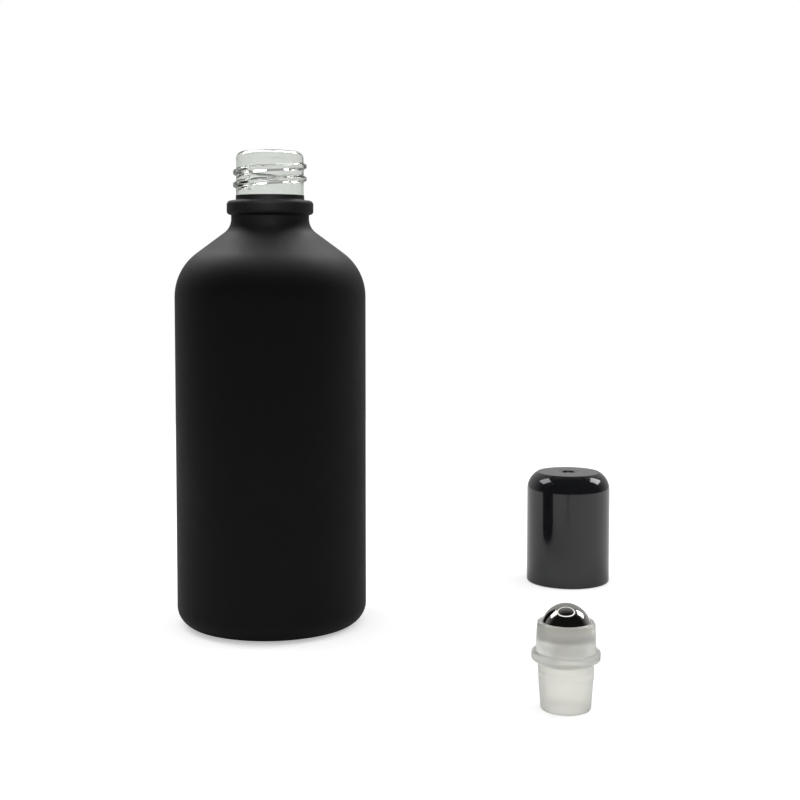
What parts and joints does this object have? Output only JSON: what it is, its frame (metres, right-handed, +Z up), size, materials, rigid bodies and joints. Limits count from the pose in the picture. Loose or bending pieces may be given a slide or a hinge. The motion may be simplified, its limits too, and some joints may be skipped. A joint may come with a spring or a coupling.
{
  "type": "roll-on bottle",
  "caption": "Black coated round glass roll-on bottle shown apart: bottle with clear threaded neck, roller fitment with a steel ball that turns, and domed screw cap.",
  "frame": {"origin": "on the surface that all the pieces stand on, under the middle of the whole set's box", "axes": "+Z up along the bottle's axis; seen from -Y the bottle stands at the left (-X), the cap at the right and further back, and the roller fitment at the right and nearer"},
  "size_m": [0.1124, 0.1262, 0.115],
  "materials": {
    "clear_glass": "polished",
    "black_lacquer": "matte",
    "frosted_plastic": "satin",
    "polished_steel": "polished",
    "black_gloss_plastic": "gloss"
  },
  "bodies": {
    "bottle": {"bottle_glass": "clear_glass", "bottle_coat": "black_lacquer"},
    "fitment": {"roller_housing": "frosted_plastic"},
    "ball": {"roller_ball": "polished_steel"},
    "cap": {"screw_cap": "black_gloss_plastic"}
  },
  "joints": [
    {"name": "cap_carry", "type": "slide", "parent": "bottle", "child": "cap", "axis": [-0.4165, -0.2243, 0.881], "range_m": [0, 0.18728]},
    {"name": "fitment_carry", "type": "slide", "parent": "bottle", "child": "fitment", "axis": [-0.3847, 0.3936, 0.8349], "range_m": [0, 0.16768]},
    {"name": "ball_roll", "type": "hinge", "parent": "fitment", "child": "ball", "pos_m": [0.03141, -0.05622, 0.01605], "axis": [1, 0, 0], "continuous": true}
  ]
}
